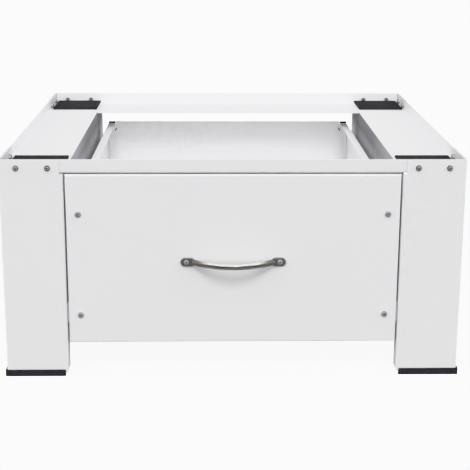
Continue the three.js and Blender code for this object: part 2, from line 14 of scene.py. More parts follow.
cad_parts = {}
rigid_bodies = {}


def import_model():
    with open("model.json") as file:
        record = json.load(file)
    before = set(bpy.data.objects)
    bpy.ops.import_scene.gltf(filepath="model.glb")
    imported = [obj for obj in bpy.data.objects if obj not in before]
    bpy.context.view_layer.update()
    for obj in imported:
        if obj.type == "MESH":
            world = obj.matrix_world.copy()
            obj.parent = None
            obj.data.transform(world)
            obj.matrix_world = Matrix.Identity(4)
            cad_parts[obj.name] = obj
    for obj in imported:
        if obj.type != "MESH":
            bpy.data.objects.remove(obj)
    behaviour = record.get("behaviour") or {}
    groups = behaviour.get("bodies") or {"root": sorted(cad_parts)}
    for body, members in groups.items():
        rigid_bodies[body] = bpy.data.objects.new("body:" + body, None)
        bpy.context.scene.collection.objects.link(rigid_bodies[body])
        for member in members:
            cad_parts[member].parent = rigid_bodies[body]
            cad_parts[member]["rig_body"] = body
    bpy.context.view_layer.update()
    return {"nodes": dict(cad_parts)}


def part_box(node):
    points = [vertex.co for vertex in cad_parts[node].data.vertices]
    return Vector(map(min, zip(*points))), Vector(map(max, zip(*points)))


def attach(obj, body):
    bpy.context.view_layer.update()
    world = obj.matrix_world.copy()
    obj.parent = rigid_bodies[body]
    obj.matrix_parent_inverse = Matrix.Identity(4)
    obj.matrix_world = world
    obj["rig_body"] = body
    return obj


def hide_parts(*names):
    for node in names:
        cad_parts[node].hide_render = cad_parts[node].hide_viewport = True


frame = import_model()
MM = 0.001
QUARTER = math.pi / 2
CREASE = 40  # degrees; folds sharper than this are eased and never shaded over

# Radii of the screws' heads. SHARED_HEAD is for the zinc that the channel screws and
# the pins, with their wider heads, have in common.
CORNER_HEAD, PANEL_HEAD, TAB_HEAD, CHANNEL_HEAD = 3.75 * MM, 4.1 * MM, 3.4 * MM, 3.2 * MM
SHARED_HEAD = 3.7 * MM

# ------------------------------------------------------------------- materials

PAINT = (0.795, 0.795, 0.806), (0.802, 0.802, 0.812)
# Painted light: the drawer box's paint is a shade lighter than the frame's, standing in for the
# light inside the drawer.
LIT_BOX_PAINT = (0.855, 0.855, 0.863), (0.865, 0.865, 0.872)
# SKIRT_TOP and SKIRT_SIDE bound the painted shade on the skirts' faces beside the drawer.
SKIRT_TOP = 291.5 * MM  # just over the skirts' flat faces, where the shelf's fold begins
SKIRT_SIDE = 229.3 * MM  # distance from the middle, between a skirt's two faces
TRACKS = 77.1 * MM, 95.0 * MM  # heights round which the rollers have rubbed the paint


class Finish:
    """A node material laid out in the object's own coordinates, in metres."""

    def __init__(self, name, metallic=0.0, specular=0.5):
        self.material = bpy.data.materials.new(name)
        self.material.use_nodes = True
        self.tree = self.material.node_tree
        self.shader = self.tree.nodes["Principled BSDF"]
        self.shader.inputs["Metallic"].default_value = metallic
        self.shader.inputs["Specular IOR Level"].default_value = specular
        self.place = self.node("ShaderNodeTexCoord").outputs["Object"]
        self.normal = None

    def node(self, kind, **settings):
        made = self.tree.nodes.new(kind)
        for key, value in settings.items():
            setattr(made, key, value)
        return made

    def feed(self, socket, value):
        if isinstance(value, (int, float, tuple)):
            socket.default_value = value
        else:
            self.tree.links.new(value, socket)

    def noise(self, size, detail=3.0, stretch=(1, 1, 1), start=0.0):
        """Cloudy noise whose spots are about size across; stretch above 1 squeezes them."""
        mapping = self.node("ShaderNodeMapping")
        mapping.inputs["Scale"].default_value = stretch
        mapping.inputs["Location"].default_value = (start, start * 0.7, start * 1.3)
        self.feed(mapping.inputs["Vector"], self.place)
        texture = self.node("ShaderNodeTexNoise")
        texture.inputs["Scale"].default_value = 1 / size
        texture.inputs["Detail"].default_value = detail
        self.feed(texture.inputs["Vector"], mapping.outputs["Vector"])
        return texture.outputs["Fac"]

    def cells(self, size):
        """Distance from the middle of pebble-like cells about size across."""
        texture = self.node("ShaderNodeTexVoronoi")
        texture.inputs["Scale"].default_value = 1 / size
        self.feed(texture.inputs["Vector"], self.place)
        return texture.outputs["Distance"]

    def along(self, axis):
        split = self.node("ShaderNodeSeparateXYZ")
        self.feed(split.inputs["Vector"], self.place)
        return split.outputs[axis]

    def off(self, axis, middle=0.0):
        """How far a place is from the middle along an axis, on either side."""
        return self.math("ABSOLUTE", self.math("SUBTRACT", self.along(axis), middle), 0.0)

    def edges(self, low, high):
        """1 on outward edges, 0 on flats and in corners."""
        pointed = self.node("ShaderNodeNewGeometry").outputs["Pointiness"]
        return self.span(pointed, low, high, 0.0, 1.0)

    def span(self, value, low, high, to_low, to_high):
        """Lays the range from low to high on another one and holds it at its ends."""
        scale = self.node("ShaderNodeMapRange")
        self.feed(scale.inputs["Value"], value)
        ends = {"From Min": low, "From Max": high, "To Min": to_low, "To Max": to_high}
        for key, number in ends.items():
            scale.inputs[key].default_value = number
        return scale.outputs["Result"]

    def math(self, operation, a, b):
        made = self.node("ShaderNodeMath", operation=operation)
        self.feed(made.inputs[0], a)
        self.feed(made.inputs[1], b)
        return made.outputs["Value"]

    def tones(self, value, first, last, low=0.3, high=0.7):
        """A colour for the value: the first one up to low, the last one from high on."""
        ramp = self.node("ShaderNodeValToRGB")
        stops = zip(ramp.color_ramp.elements, (low, high), (first, last))
        for element, place, colour in stops:
            element.position = place
            element.color = (*colour, 1.0)
        self.feed(ramp.inputs["Fac"], value)
        return ramp.outputs["Color"]

    def mix(self, share, a, b):
        made = self.node("ShaderNodeMix", data_type="RGBA")
        self.feed(made.inputs["Factor"], share)
        self.feed(made.inputs[6], (*a, 1.0) if isinstance(a, tuple) else a)
        self.feed(made.inputs[7], (*b, 1.0) if isinstance(b, tuple) else b)
        return made.outputs[2]

    def times(self, a, b):
        made = self.node("ShaderNodeMix", data_type="RGBA", blend_type="MULTIPLY")
        made.inputs["Factor"].default_value = 1.0
        self.feed(made.inputs[6], a)
        self.feed(made.inputs[7], b)
        return made.outputs[2]

    def rubbed_edges(self, tone, colour, full=0.60):
        """The tone, with its outward edges part of the way to the colour."""
        return self.mix(self.math("MULTIPLY", self.edges(0.53, full), 0.3), tone, colour)

    def colour(self, value):
        self.feed(self.shader.inputs["Base Color"], value)

    def roughness(self, value):
        self.feed(self.shader.inputs["Roughness"], value)

    def bump(self, value, depth):
        made = self.node("ShaderNodeBump")
        made.inputs["Strength"].default_value = 1.0
        made.inputs["Distance"].default_value = depth
        self.feed(made.inputs["Height"], value)
        if self.normal is not None:
            self.feed(made.inputs["Normal"], self.normal)
        self.normal = made.outputs["Normal"]
        self.feed(self.shader.inputs["Normal"], self.normal)


def with_painted_skirt_shade(f, tone):
    """The tone, with painted shade on the skirts' faces beside the drawer: grey under the shelf's
    fold, and most of all towards the back."""
    cloud = f.span(f.noise(30 * MM, 4.0, start=6.0), 0.3, 0.7, -2 * MM, 2 * MM)
    height = f.math("ADD", f.along("Z"), cloud)
    # painted shade: grey under the fold, darker towards the back
    fold = f.tones(f.span(f.along("Y"), -120 * MM, 30 * MM, 0.0, 1.0),
                   (0.36, 0.36, 0.385), (0.180, 0.180, 0.200), 0.0, 1.0)
    painted_shade = f.mix(f.span(height, 250 * MM, 271 * MM, 0.0, 1.0), (0.80, 0.80, 0.82), fold)
    below = f.math("LESS_THAN", f.along("Z"), SKIRT_TOP)
    beside = f.math("LESS_THAN", f.off("X"), SKIRT_SIDE)
    return f.mix(f.math("MULTIPLY", below, beside), tone, painted_shade)


def powder_coat(name, dark, light, shade_skirts=False):
    """Baked powder paint: an even tone, a faint orange peel and small scuffs, with painted shade on
    the skirts where asked.
    """
    f = Finish(name, specular=0.42)

    def shade(share):
        return tuple(c * share for c in dark)

    tone = f.tones(f.noise(120 * MM), dark, light)
    # painted shade on the skirts' faces beside the drawer
    if shade_skirts:
        tone = with_painted_skirt_shade(f, tone)
    specks = f.span(f.noise(1.1 * MM, 2.0, start=3.0), 0.67, 0.75, 0.0, 0.08)
    tone = f.mix(specks, tone, shade(0.86))
    scuffs = f.span(f.noise(4 * MM, 5.0, (1.0, 1.0, 9.0), 5.0), 0.70, 0.80, 0.0, 0.10)
    tone = f.mix(scuffs, tone, shade(0.92))
    patches = f.span(f.noise(12 * MM, 4.0, start=8.0), 0.48, 0.66, 0.0, 0.22)
    worn = f.math("MULTIPLY", f.edges(0.54, 0.61), patches)
    f.colour(f.mix(worn, tone, shade(0.84)))
    haze = f.span(f.noise(50 * MM, start=1.0), 0.3, 0.7, 0.44, 0.48)
    f.roughness(f.math("ADD", haze, f.math("MULTIPLY", worn, 0.3)))
    f.bump(f.noise(1.6 * MM, 1.5), 0.014 * MM)
    f.bump(f.noise(0.35 * MM, 2.0, start=2.0), 0.003 * MM)
    return f.material


def runner_coat():
    """The same kind of paint on the runners, rubbed where the rollers run."""
    f = Finish("runner_paint", specular=0.45)
    tone = f.tones(f.noise(60 * MM, 4.0), (0.66, 0.66, 0.67), (0.74, 0.74, 0.745))
    lower, upper = (f.math("LESS_THAN", f.off("Z", track), 0.4 * MM) for track in TRACKS)
    streaks = f.span(f.noise(1.2 * MM, 4.0, (1.0, 0.03, 1.0)), 0.38, 0.62, 0.1, 0.9)
    rubbed = f.math("MULTIPLY", f.math("MAXIMUM", lower, upper), streaks)
    f.colour(f.mix(rubbed, tone, (0.40, 0.40, 0.41)))
    haze = f.span(f.noise(10 * MM, 4.0), 0.3, 0.7, 0.42, 0.54)
    f.roughness(f.math("SUBTRACT", haze, f.math("MULTIPLY", rubbed, 0.22)))
    f.bump(f.noise(1.6 * MM, 1.5), 0.02 * MM)
    f.bump(streaks, 0.004 * MM)
    return f.material


def zinc_plate(name, head, middle, rim, recess_shade, matt):
    """Zinc on the screws, nuts and pins: crystal grain, and painted shade deep in the cross recess.
    A screw lies along its local Z with the crown of its head at 0; head is the head's radius, and
    middle and rim are how bright its top is painted there, a painted reflection."""
    f = Finish(name, metallic=1.0)
    squares = (f.math("POWER", f.along(axis), 2.0) for axis in "XY")
    radius = f.math("SQRT", f.math("ADD", *squares), 0.0)
    outer = f.span(radius, 0.62 * head, 0.86 * head, 0.0, 1.0)
    grain = f.tones(f.noise(1.6 * MM, 5.0), (0.82, 0.82, 0.83), (1.0, 1.0, 1.0), 0.25, 0.75)
    # painted reflection: the head's top goes from the middle's brightness to the rim's
    tone = f.mix(outer, (middle, middle, middle * 1.015), (rim, rim, rim * 1.015))
    behind = f.span(f.along("Z"), -3.4 * MM, -2.8 * MM, 1.0, 0.0)
    tone = f.times(f.mix(behind, tone, (0.44, 0.44, 0.45)), grain)
    dirt = f.span(f.noise(4 * MM, 5.0, start=4.0), 0.55, 0.75, 0.0, 0.35)
    tone = f.mix(dirt, tone, (0.24, 0.235, 0.23))
    # painted shade deep in the cross recess
    sunk = f.math("MULTIPLY", f.span(f.along("Z"), -0.9 * MM, -0.4 * MM, recess_shade, 0.0),
                  f.span(radius, 0.60 * head, 0.66 * head, 1.0, 0.0))
    f.colour(f.mix(sunk, tone, (0.07, 0.07, 0.072)))
    dull = f.noise(0.9 * MM, 4.0, start=1.0)
    f.roughness(f.span(dull, 0.3, 0.7, matt - 0.07, matt + 0.07))
    f.bump(f.cells(0.6 * MM), 0.012 * MM)
    return f.material


def brushed_nickel():
    """Warm nickel, brushed along the bar, with painted reflections in bands by height: a painted
    highlight on top, a painted dark reflection in front, a lighter painted reflection underneath
    and painted shade towards its ends; darker and duller on the tabs."""
    f = Finish("nickel", metallic=1.0)
    lines = f.noise(0.5 * MM, 3.0, (0.035, 1.0, 1.0))
    # Painted reflections by height: top is a painted highlight, front a painted dark reflection,
    # below a lighter painted reflection, ends painted shade.
    top = f.tones(lines, (0.84, 0.825, 0.800), (0.93, 0.915, 0.895))
    front = f.tones(lines, (0.090, 0.085, 0.080), (0.125, 0.118, 0.111))
    below = f.tones(lines, (0.64, 0.62, 0.60), (0.78, 0.76, 0.735))
    ends = f.tones(lines, (0.135, 0.124, 0.116), (0.185, 0.171, 0.160))
    tab = f.tones(lines, (0.25, 0.246, 0.244), (0.31, 0.305, 0.302))
    sway = f.span(f.noise(12 * MM, 2.0, start=2.0), 0.3, 0.7, -0.2 * MM, 0.2 * MM)
    height = f.math("ADD", f.along("Z"), sway)
    # the bar's painted reflection bands, laid by height
    bar = f.mix(f.span(height, -0.7 * MM, 0.4 * MM, 0.0, 1.0), below, front)
    bar = f.mix(f.span(height, 2.2 * MM, 2.7 * MM, 0.0, 1.0), bar, top)
    # painted shade towards the bar's ends
    bar = f.mix(f.span(f.off("X"), 33 * MM, 48 * MM, 0.0, 0.85), bar, ends)
    on_tab = f.span(f.along("Y"), -4.2 * MM, -3.0 * MM, 0.0, 1.0)
    tone = f.mix(on_tab, bar, tab)
    f.colour(f.rubbed_edges(tone, (0.62, 0.61, 0.59), 0.62))
    f.roughness(f.math("ADD", f.span(lines, 0.3, 0.7, 0.40, 0.50),
                       f.math("MULTIPLY", on_tab, 0.06)))
    f.bump(lines, 0.006 * MM)
    return f.material


def moulded_plastic():
    """Black spark-grained plastic, dusty and scuffed near the floor."""
    f = Finish("cap_plastic", specular=0.2)
    tone = f.tones(f.noise(6 * MM, 4.0), (0.048, 0.047, 0.053), (0.060, 0.059, 0.066))
    low = f.span(f.along("Z"), 0.5 * MM, 5 * MM, 1.0, 0.0)
    drift = f.span(f.noise(2.5 * MM, 5.0, start=3.0), 0.4, 0.65, 0.0, 0.4)
    dust = f.math("MULTIPLY", low, drift)
    tone = f.mix(dust, tone, (0.075, 0.074, 0.072))
    f.colour(f.rubbed_edges(tone, (0.085, 0.085, 0.092)))
    haze = f.span(f.noise(2 * MM, 4.0), 0.3, 0.7, 0.46, 0.60)
    f.roughness(f.math("ADD", haze, f.math("MULTIPLY", dust, 0.3)))
    f.bump(f.cells(0.7 * MM), 0.05 * MM)
    f.bump(f.noise(0.3 * MM, 2.0), 0.015 * MM)
    return f.material


def pad_rubber():
    """Matt black rubber with fine crumbs and a bloom of grey."""
    f = Finish("pad_rubber", specular=0.08)
    tone = f.tones(f.noise(11 * MM, 5.0), (0.039, 0.039, 0.041), (0.050, 0.050, 0.052))
    crumbs = f.span(f.cells(1.1 * MM), 0.05, 0.35, 0.5, 0.0)
    tone = f.mix(crumbs, tone, (0.060, 0.060, 0.062))
    f.colour(f.rubbed_edges(tone, (0.090, 0.090, 0.092)))
    f.roughness(f.span(f.noise(3 * MM, 4.0), 0.3, 0.7, 0.72, 0.92))
    f.bump(f.cells(1.1 * MM), 0.08 * MM)
    f.bump(f.noise(0.4 * MM), 0.03 * MM)
    return f.material


def roller_nylon():
    """Off-white nylon with turning marks and grey smears from the track."""
    f = Finish("nylon", specular=0.45)
    f.shader.inputs["Subsurface Weight"].default_value = 0.08
    f.shader.inputs["Subsurface Radius"].default_value = (1.0 * MM, 1.0 * MM, 0.8 * MM)
    tone = f.tones(f.noise(4 * MM), (0.72, 0.71, 0.66), (0.83, 0.82, 0.77))
    smear = f.span(f.noise(1.5 * MM, 5.0, (4.0, 1.0, 1.0), 2.0), 0.5, 0.75, 0.0, 0.5)
    f.colour(f.mix(smear, tone, (0.42, 0.41, 0.39)))
    f.roughness(f.span(f.noise(1.2 * MM, 4.0), 0.3, 0.7, 0.32, 0.50))
    f.bump(f.noise(0.2 * MM, 2.0, (3.0, 1.0, 1.0)), 0.01 * MM)
    return f.material


finishes = {
    "white_paint": powder_coat("white_paint", *PAINT),
    # the shelves' paint, with painted shade on their skirts
    "shaded_skirt_paint": powder_coat("shaded_skirt_paint", *PAINT, shade_skirts=True),
    # painted light on the drawer box
    "lit_box_paint": powder_coat("lit_box_paint", *LIT_BOX_PAINT),
    "runner_paint": runner_coat(),
    # middle and rim: the heads' tops painted lighter or darker, a painted reflection; then how
    # strong the painted shade in the cross recess is, and the roughness
    "zinc_steel": zinc_plate("zinc_steel", SHARED_HEAD, 0.55, 0.40, 0.7, 0.55),
    "corner_zinc": zinc_plate("corner_zinc", CORNER_HEAD, 0.66, 0.07, 0.4, 0.55),
    "panel_zinc": zinc_plate("panel_zinc", PANEL_HEAD, 0.56, 0.48, 0.12, 0.7),
    "tab_zinc": zinc_plate("tab_zinc", TAB_HEAD, 0.60, 0.62, 0.45, 0.8),
    "nickel": brushed_nickel(),
    "cap_plastic": moulded_plastic(),
    "pad_rubber": pad_rubber(),
    "nylon": roller_nylon(),
}

# --------------------------------------------------------------- piece helpers


def slot_of(node):
    if "roller" in node:
        return "nylon"
    if "screw" in node or "pin" in node:
        return "zinc_steel"
    if "channel" in node or "runner" in node:
        return "runner_paint"
    if "cap" in node:
        return "cap_plastic"
    if "pad" in node:
        return "pad_rubber"
    return "nickel" if "handle" in node else "white_paint"


def nodes_ending(ending):
    return [node for node in frame["nodes"] if node.endswith(ending)]


def body_of(node):
    return frame["nodes"][node]["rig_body"]


def is_fold(edge):
    """Whether the edge has a face on each side."""
    return len(edge.link_faces) == 2


def shade_by_angle(mesh, degrees=CREASE):
    """Smooth shading across every fold that is gentler than the angle."""
    bm = bmesh.new()
    bm.from_mesh(mesh)
    for face in bm.faces:
        face.smooth = True
    for edge in bm.edges:
        edge.smooth = is_fold(edge) and edge.calc_face_angle(0.0) < math.radians(degrees)
    bm.to_mesh(mesh)
    bm.free()


def steady_normals(piece):
    """Keeps broad faces flat in the shading where they run into a rounded edge."""
    modifier = piece.modifiers.new("normals", "WEIGHTED_NORMAL")
    modifier.keep_sharp = True
    modifier.weight = 80


def add(name, mesh, slot, body, *nodes, place=None):
    """A piece of the object: its material, its body and the CAD nodes it stands for."""
    piece = bpy.data.objects.new(name, mesh)
    bpy.context.scene.collection.objects.link(piece)
    if not mesh.materials:
        mesh.materials.append(finishes[slot])
    if place is not None:
        piece.matrix_world = place
    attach(piece, body)
    if nodes:
        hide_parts(*nodes)
    return piece


def mesh_from(name, build):
    """A mesh that the function given fills through bmesh."""
    bm = bmesh.new()
    build(bm)
    bmesh.ops.recalc_face_normals(bm, faces=bm.faces)
    mesh = bpy.data.meshes.new(name)
    bm.to_mesh(mesh)
    bm.free()
    return mesh


def circle_steps(count):
    """The angles of evenly spaced points round a circle."""
    return [2 * math.pi * k / count for k in range(count)]


def bridge(bm, rings):
    """Joins each ring of points to the next one and gives the new faces."""
    made = []
    for low, high in zip(rings, rings[1:]):
        for k in range(len(low)):
            n = (k + 1) % len(low)
            made.append(bm.faces.new((low[k], low[n], high[n], high[k])))
    return made


def close_ends(bm, first, last):
    bm.faces.new(first)
    bm.faces.new(list(reversed(last)))


def lathe(bm, profile, segments):
    """Spins (radius, z) points round Z; radius 0 closes an end in one point."""
    rings = []
    for radius, z in profile:
        if radius < 1e-9:
            rings.append([bm.verts.new((0, 0, z))])
            continue
        rings.append([bm.verts.new((radius * math.cos(a), radius * math.sin(a), z))
                      for a in circle_steps(segments)])
    for low, high in zip(rings, rings[1:]):
        for k in range(segments):
            n = (k + 1) % segments
            corners = [low[k % len(low)], low[n % len(low)],
                       high[n % len(high)], high[k % len(high)]]
            bm.faces.new(list(dict.fromkeys(corners)))


def eased(node, width):
    """A CAD node's own shape with its flat faces made whole and its edges eased."""
    bm = bmesh.new()
    bm.from_mesh(frame["nodes"][node].data)
    bmesh.ops.remove_doubles(bm, verts=bm.verts, dist=0.002 * MM)
    bmesh.ops.dissolve_limit(bm, angle_limit=math.radians(0.5), verts=bm.verts,
                             edges=bm.edges, use_dissolve_boundaries=False, delimit=set())
    sharp = [edge for edge in bm.edges
             if is_fold(edge) and edge.calc_face_angle(0.0) > math.radians(CREASE)]
    bmesh.ops.bevel(bm, geom=sharp, offset=width, offset_type="OFFSET", segments=2,
                    profile=0.5, affect="EDGES", clamp_overlap=True)
    mesh = bpy.data.meshes.new(node + "_eased")
    bm.to_mesh(mesh)
    bm.free()
    shade_by_angle(mesh)
    return mesh


def cut(mesh, cutter):
    """The mesh less the cutter's mesh."""
    whole = bpy.data.objects.new("whole", mesh)
    tool = bpy.data.objects.new("tool", cutter)
    for piece in (whole, tool):
        bpy.context.scene.collection.objects.link(piece)
    modifier = whole.modifiers.new("cut", "BOOLEAN")
    modifier.operation = "DIFFERENCE"
    modifier.solver = "EXACT"
    modifier.object = tool
    bpy.context.view_layer.update()
    depsgraph = bpy.context.evaluated_depsgraph_get()
    result = bpy.data.meshes.new_from_object(whole.evaluated_get(depsgraph))
    for piece in (whole, tool):
        bpy.data.objects.remove(piece)
    return result


# ------------------------------------------------------- sheet steel, foot caps

BOX_SHEETS = ("left_drawer_side", "right_drawer_side", "drawer_back", "drawer_bottom")
SHEET_EASE, CAP_EASE = 0.25 * MM, 0.45 * MM

for node in [n for n in frame["nodes"] if slot_of(n) in ("white_paint", "runner_paint")]:
    mesh = eased(node, SHEET_EASE)
    # the shelves take the paint with painted shade on their skirts
    if "shelf" in node:
        mesh.materials.append(finishes["shaded_skirt_paint"])
    # the drawer box takes the lighter paint, painted light
    if node in BOX_SHEETS:
        mesh.materials.append(finishes["lit_box_paint"])
    steady_normals(add(node + "_sheet", mesh, slot_of(node), body_of(node), node))

for node in nodes_ending("foot_cap"):
    mesh = eased(node, CAP_EASE)
    steady_normals(add(node + "_moulding", mesh, "cap_plastic", body_of(node), node))

# ------------------------------------------------------------------- fasteners

SEAM = 0.3 * MM  # room between pieces that lie against each other
SEATED = SEAM * 0.9  # how far heads and nuts reach into that room
SHANK = 2.0 * MM
THREAD_PITCH = 0.8 * MM
SCREW_SIDES, NUT_SIDES = 40, 72
GRIP, NUT_HEIGHT, NUT_FLATS = 3.6 * MM, 3.2 * MM, 7.0 * MM

# A pan head's outline from its crown to its rim, in shares of its radius and height.
CROWN = ((0, 0), (0.35, -0.008), (0.62, -0.035), (0.80, -0.11), (0.91, -0.26),
         (0.975, -0.48), (1.0, -0.72))
# A bar of the cross recess at its top and at its foot: half length and half width in
# shares of the head's radius, and height over the crown in shares of the head's height.
RECESS = ((0.62, 0.20, 0.3), (0.24, 0.10, -0.85))
BOX_FACES = ((0, 1, 2, 3), (4, 7, 6, 5), (0, 4, 5, 1), (1, 5, 6, 2), (2, 6, 7, 3),
             (3, 7, 4, 0))


def screw_mesh(name, finish, radius, height, length, nut=False):
    """A pan-head screw along Z, the crown of its head at Z = 0, with a cross recess,
    rolled thread and, where asked, a chamfered hexagon nut."""
    under = -(height + SEATED)
    head = [(r * radius, z * height) for r, z in CROWN]
    head += [(radius, under + 0.15 * MM), (radius - 0.12 * MM, under), (SHANK, under)]
    thread = []
    z = under - 0.3 * MM
    while z - THREAD_PITCH > -length + 0.7 * MM:
        thread += [(SHANK * 0.86, z), (SHANK, z - THREAD_PITCH * 0.5)]
        z -= THREAD_PITCH
    tip = [(SHANK * 0.86, z), (SHANK * 0.95, -length + 0.5 * MM), (SHANK * 0.6, -length),
           (0, -length)]

    def body(bm):
        lathe(bm, head + thread + tip, SCREW_SIDES)

    def arm(turn):
        """A wedge that cuts one bar of the cross recess."""
        spin = Matrix.Rotation(turn, 3, "Z")

        def wedge(bm):
            corners = [
                bm.verts.new(spin @ Vector((x * reach * radius, y * wide * radius, z * height)))
                for reach, wide, z in RECESS
                for x, y in ((-1, -1), (1, -1), (1, 1), (-1, 1))
            ]
            for face in BOX_FACES:
                bm.faces.new([corners[k] for k in face])

        return mesh_from("recess_arm", wedge)

    mesh = mesh_from(name, body)
    for turn in (0.0, QUARTER):
        mesh = cut(mesh, arm(turn))
    if nut:
        top = -(height + SEAM + GRIP)
        bm = bmesh.new()
        bm.from_mesh(mesh)
        add_nut(bm, top + SEATED, top - NUT_HEIGHT, NUT_FLATS)
        bm.to_mesh(mesh)
        bm.free()
    mesh.name = name
    mesh.materials.clear()
    mesh.materials.append(finishes[finish])
    shade_by_angle(mesh, degrees=32)
    return mesh


def add_nut(bm, top, bottom, across):
    """A hexagon nut with both faces chamfered round and a countersunk thread; its
    flats face local Y, which is up on the pedestal."""
    apothem = across / 2
    crown = apothem * 0.97
    bore, mouth, sink = SHANK * 0.9, SHANK + 0.3 * MM, 0.3 * MM
    rings = [[] for _ in range(8)]
    for angle in circle_steps(NUT_SIDES):
        off = (angle - QUARTER + math.pi / 6) % (math.pi / 3) - math.pi / 6
        rim = apothem / math.cos(off)
        fall = (rim - crown) * 0.55
        profile = ((bore, top - sink), (mouth, top), (crown, top), (rim, top - fall),
                   (rim, bottom + fall), (crown, bottom), (mouth, bottom),
                   (bore, bottom + sink))
        for ring, (radius, z) in zip(rings, profile):
            ring.append(bm.verts.new((radius * math.cos(angle), radius * math.sin(angle), z)))
    bmesh.ops.recalc_face_normals(bm, faces=bridge(bm, rings + rings[:1]))


def fastener_place(node):
    """Puts a screw's crown on the outermost face of its CAD node, facing the same way."""
    low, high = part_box(node)
    size, centre = high - low, (low + high) / 2
    if "front_screw" in node or "handle_screw" in node:
        out = Vector((0, -1, 0))
    elif "runner_screw" in node:
        out = Vector((-math.copysign(1, centre.x), 0, 0))
    elif size.y > size.x:
        out = Vector((0, math.copysign(1, centre.y), 0))
    else:
        out = Vector((math.copysign(1, centre.x), 0, 0))
    up = Vector((0, 0, 1))
    crown = centre + Vector([out[k] * size[k] / 2 for k in range(3)])
    turn = Matrix((up.cross(out), up, out)).transposed().to_4x4()
    return Matrix.Translation(crown) @ turn


def fastener_kind(node):
    """The kind that a screw's name says; only a corner screw's name says none."""
    return next((k for k in ("handle", "runner", "front") if f"{k}_screw" in node), "corner")


fasteners = {
    "corner": screw_mesh("corner_screw", "corner_zinc", CORNER_HEAD, 2.2 * MM, 10.3 * MM, nut=True),
    "front": screw_mesh("panel_screw", "panel_zinc", PANEL_HEAD, 2.2 * MM, 14.5 * MM),
    "handle": screw_mesh("tab_screw", "tab_zinc", TAB_HEAD, 1.8 * MM, 14.1 * MM),
    "runner": screw_mesh("channel_screw", "zinc_steel", CHANNEL_HEAD, 1.8 * MM, 9.1 * MM),
}
for node in [n for n in frame["nodes"] if "screw" in n]:
    add(node + "_fastener", fasteners[fastener_kind(node)], "zinc_steel", body_of(node), node,
        place=fastener_place(node))

# ------------------------------------------------------------ rollers and pins

PIN_THIN, PIN_WIDE, PIN_HEAD = 2.4 * MM, 4.1 * MM, 1.2 * MM
JOURNAL = 5.9 * MM  # the length of pin that a roller turns on
ROLLER_SIDES, PIN_SIDES = 72, 40


def roller_profile(width):
    """Half-round edges, a hub and a shallow recess in each side of the roller."""
    rim, bore, ease = 8.8 * MM, 2.65 * MM, 0.8 * MM
    dish = 0.55 * MM
    side = [(bore, 0.15 * MM), (bore + 0.2 * MM, 0.0), (4.2 * MM, 0.0), (4.5 * MM, dish),
            (7.0 * MM, dish), (7.3 * MM, 0.0)]
    edge = [(rim - ease + ease * math.sin(a), ease - ease * math.cos(a))
            for a in (QUARTER * k / 6 for k in range(7))]
    first = side + edge
    second = [(r, width - z) for r, z in reversed(first)]
    return first + second + [first[0]]


def pin_profile(length):
    """A riveted end, a shoulder, the roller's journal and a domed head."""
    head_at = length - PIN_HEAD
    shoulder_end = head_at - JOURNAL
    points = [(0, 0), (PIN_THIN - 0.2 * MM, 0), (PIN_THIN, 0.2 * MM), (PIN_THIN, 1.0 * MM),
              (PIN_WIDE, 1.0 * MM), (PIN_WIDE, shoulder_end), (PIN_THIN, shoulder_end),
              (PIN_THIN, head_at), (PIN_WIDE, head_at)]
    for k in range(1, 6):
        a = QUARTER * k / 6
        points.append((PIN_WIDE * math.cos(a) ** 0.8, head_at + PIN_HEAD * math.sin(a)))
    return points + [(0.0, length)]


def along_x(low, high, sign):
    """A place with its Z axis along X in the direction of sign, its foot at that end."""
    centre = (low + high) / 2
    foot = Vector((low.x if sign > 0 else high.x, centre.y, centre.z))
    return Matrix.Translation(foot) @ Matrix.Rotation(sign * QUARTER, 4, "Y")


for node in nodes_ending("roller"):
    low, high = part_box(node)
    width = high.x - low.x

    def turned(bm):
        lathe(bm, roller_profile(width), ROLLER_SIDES)
        bmesh.ops.remove_doubles(bm, verts=bm.verts, dist=0.0001 * MM)

    mesh = mesh_from(node + "_turned", turned)
    shade_by_angle(mesh, degrees=35)
    add(node + "_turned", mesh, "nylon", body_of(node), node, place=along_x(low, high, 1))

for node in nodes_ending("_pin"):
    low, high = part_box(node)
    outward = math.copysign(1, (low + high).x)
    points = pin_profile(high.x - low.x)
    mesh = mesh_from(node + "_riveted", lambda bm: lathe(bm, points, PIN_SIDES))
    shade_by_angle(mesh, degrees=35)
    add(node + "_riveted", mesh, "zinc_steel", body_of(node), node,
        place=along_x(low, high, -outward if node.endswith("channel_pin") else outward))

# ------------------------------------------------------------------------ pads

RIB, RIB_PITCH, RIB_RISE = 1.9 * MM, 3.0 * MM, 0.3 * MM
RIB_SUNK = 0.05 * MM  # how far a rib's foot goes into the mat


def rounded_square(half, radius):
    """Points round a square with rounded corners."""
    points = []
    for quarter in range(4):
        cx = (half - radius) * (1 if quarter in (0, 3) else -1)
        cy = (half - radius) * (1 if quarter in (0, 1) else -1)
        for k in range(6):
            a = QUARTER * (quarter + k / 5)
            points.append((cx + radius * math.cos(a), cy + radius * math.sin(a)))
    return points


def add_rib(bm, y, foot, reach):
    """A low rib along X with eased edges and ends that slope down."""
    half, rise = RIB / 2, RIB_RISE + RIB_SUNK
    shoulder = RIB_RISE * 0.7 + RIB_SUNK
    section = ((-half, 0.0), (-half + 0.15 * MM, shoulder), (-half + 0.4 * MM, rise),
               (half - 0.4 * MM, rise), (half - 0.15 * MM, shoulder), (half, 0.0))
    inner = reach - 0.5 * MM
    rings = []
    for x, wide, tall in ((-reach, 0.7, 0.15), (-inner, 1.0, 1.0), (inner, 1.0, 1.0),
                          (reach, 0.7, 0.15)):
        rings.append([bm.verts.new((x, y + dy * wide, foot + dz * tall)) for dy, dz in section])
    bridge(bm, rings)
    close_ends(bm, rings[0], rings[-1])


